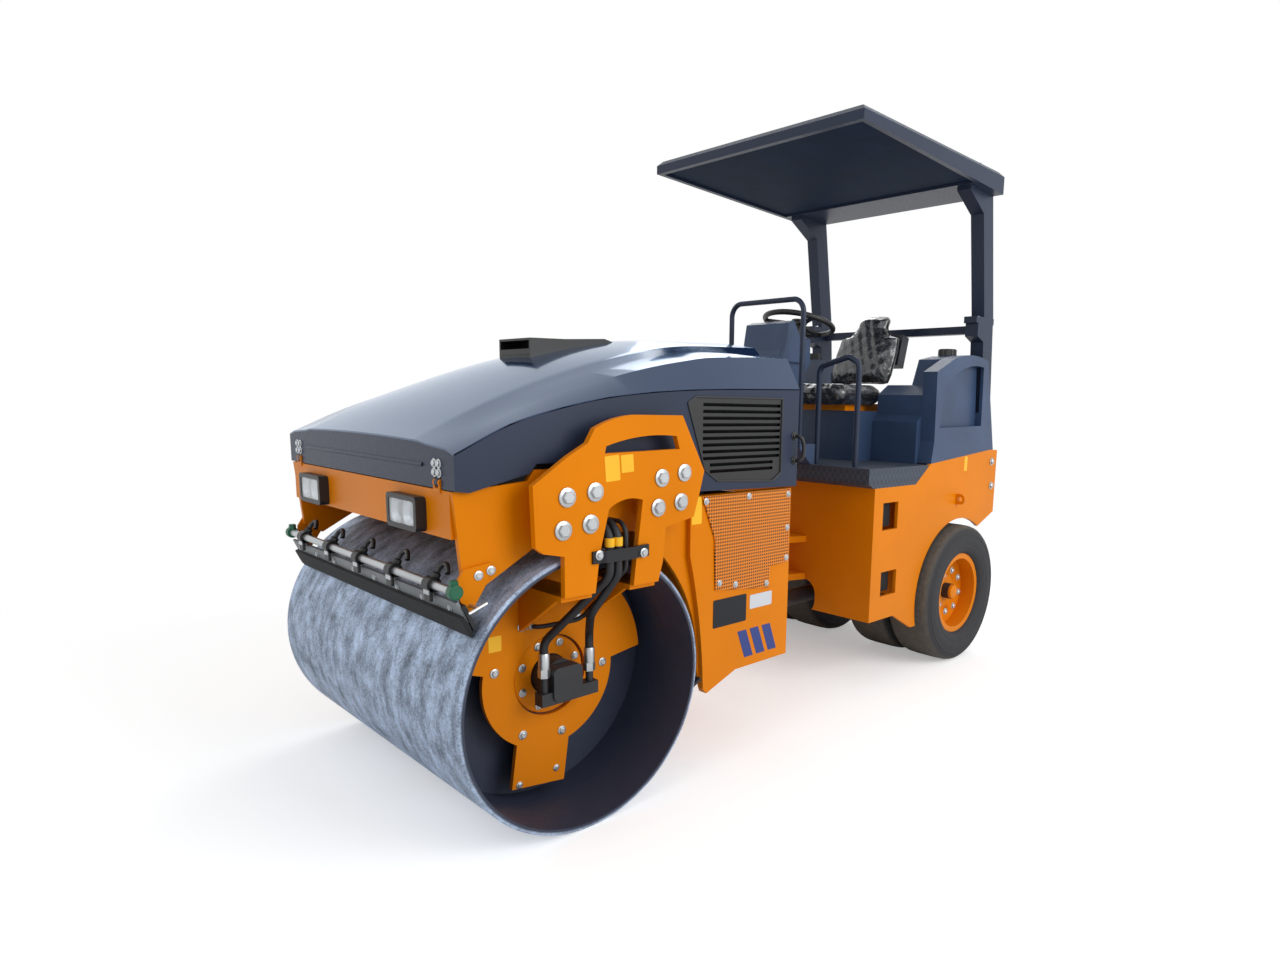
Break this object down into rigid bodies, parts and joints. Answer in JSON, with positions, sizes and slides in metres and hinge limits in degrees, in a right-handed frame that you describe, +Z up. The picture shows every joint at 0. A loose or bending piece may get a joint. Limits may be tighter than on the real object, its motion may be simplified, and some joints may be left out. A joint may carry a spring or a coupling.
{
  "type": "articulated road roller with a smooth front drum and twin pneumatic rear tyres",
  "caption": "Ride-on articulated road roller with a smooth steel front drum, smooth rear tyres, tilting hood, operator platform and rollover canopy.",
  "frame": {"origin": "on the ground, at the middle of the length and width of the machine", "axes": "+X forward towards the drum, +Y to the left side of the machine, +Z up"},
  "size_m": [3.135, 1.386, 2.472],
  "materials": {
    "orange_paint": "gloss machine enamel",
    "dark_paint": "gloss dark blue-grey enamel",
    "drum_steel": "worn rolled steel",
    "tyre_rubber": "smooth tyre rubber",
    "black_rubber": "hose and wiper rubber",
    "dark_casting": "painted casting",
    "cylinder_black": "black enamel",
    "rod_chrome": "hard chrome",
    "zinc_steel": "zinc plated",
    "moulded_cover": "moulded polyethylene",
    "black_plastic": "moulded black plastic",
    "lamp_lens": "clear lens",
    "seat_vinyl": "vinyl under clear film",
    "seat_shell": "moulded shell"
  },
  "bodies": {
    "rear_frame": {"rear_frame": "orange_paint", "rear_axle": "dark_casting", "platform": "dark_paint", "rear_tank": "moulded_cover", "fender_cover_left": "moulded_cover", "fender_cover_right": "moulded_cover", "seat_base": "orange_paint", "seat_cushion": "seat_vinyl", "seat_back": "seat_vinyl", "seat_shell": "seat_shell", "rops_lower": "dark_paint", "rops_upper": "dark_paint", "canopy": "dark_paint", "console": "dark_paint", "steering_wheel": "black_plastic", "grab_rail": "dark_paint", "step_rails": "dark_paint", "filler_caps": "black_plastic"},
    "centre_joint": {"centre_joint": "dark_casting"},
    "front_frame": {"front_frame": "orange_paint", "drum_carrier_left": "orange_paint", "drum_carrier_right": "orange_paint", "drum_motor_left": "dark_casting", "drum_motor_right": "dark_casting", "engine_block": "dark_casting", "hoses": "black_rubber", "hose_clamps": "cylinder_black", "mesh_covers": "orange_paint", "headlamps": "black_plastic", "headlamp_lenses": "lamp_lens", "spray_bar": "zinc_steel", "wiper_bars": "zinc_steel", "wiper_blades": "black_rubber"},
    "drum": {"drum": "drum_steel"},
    "hood": {"hood": "dark_paint", "hood_grilles": "black_plastic", "intake_cap": "black_plastic"},
    "steer_barrel": {"steer_barrel": "cylinder_black"},
    "steer_rod": {"steer_rod": "rod_chrome"},
    "wheels_left": {"wheels_left": "orange_paint", "tyres_left": "tyre_rubber"},
    "wheels_right": {"wheels_right": "orange_paint", "tyres_right": "tyre_rubber"}
  },
  "joints": [
    {"name": "steer", "type": "hinge", "parent": "rear_frame", "child": "centre_joint", "pos_m": [-0.02, 0, 0.555], "axis": [0, 0, 1], "range_deg": [-32, 32]},
    {"name": "frame_swing", "type": "hinge", "parent": "centre_joint", "child": "front_frame", "pos_m": [0.1, 0, 0.555], "axis": [1, 0, 0], "range_deg": [-8, 8]},
    {"name": "drum_spin", "type": "hinge", "parent": "front_frame", "child": "drum", "pos_m": [1.1425, 0, 0.425], "axis": [0, 1, 0], "continuous": true},
    {"name": "hood_tilt", "type": "hinge", "parent": "front_frame", "child": "hood", "pos_m": [1.5275, 0, 1.062], "axis": [0, 1, 0], "range_deg": [0, 55]},
    {"name": "wheels_left_spin", "type": "hinge", "parent": "rear_frame", "child": "wheels_left", "pos_m": [-1.1825, 0.375, 0.35], "axis": [0, 1, 0], "continuous": true},
    {"name": "wheels_right_spin", "type": "hinge", "parent": "rear_frame", "child": "wheels_right", "pos_m": [-1.1825, -0.375, 0.35], "axis": [0, 1, 0], "continuous": true},
    {"name": "steer_barrel_turn", "type": "hinge", "parent": "rear_frame", "child": "steer_barrel", "pos_m": [-0.608, 0.17, 0.385], "axis": [0, 0, 1], "range_deg": [-4, 4]},
    {"name": "steer_rod_stroke", "type": "slide", "parent": "steer_barrel", "child": "steer_rod", "axis": [0.9995, 0.0309, 0], "range_m": [-0.112, 0.112]}
  ],
  "couplings": [
    {"joint": "steer_barrel_turn", "follows": "steer", "ratio": 0.087},
    {"joint": "steer_rod_stroke", "follows": "steer", "m_per_rad": -0.1808}
  ]
}
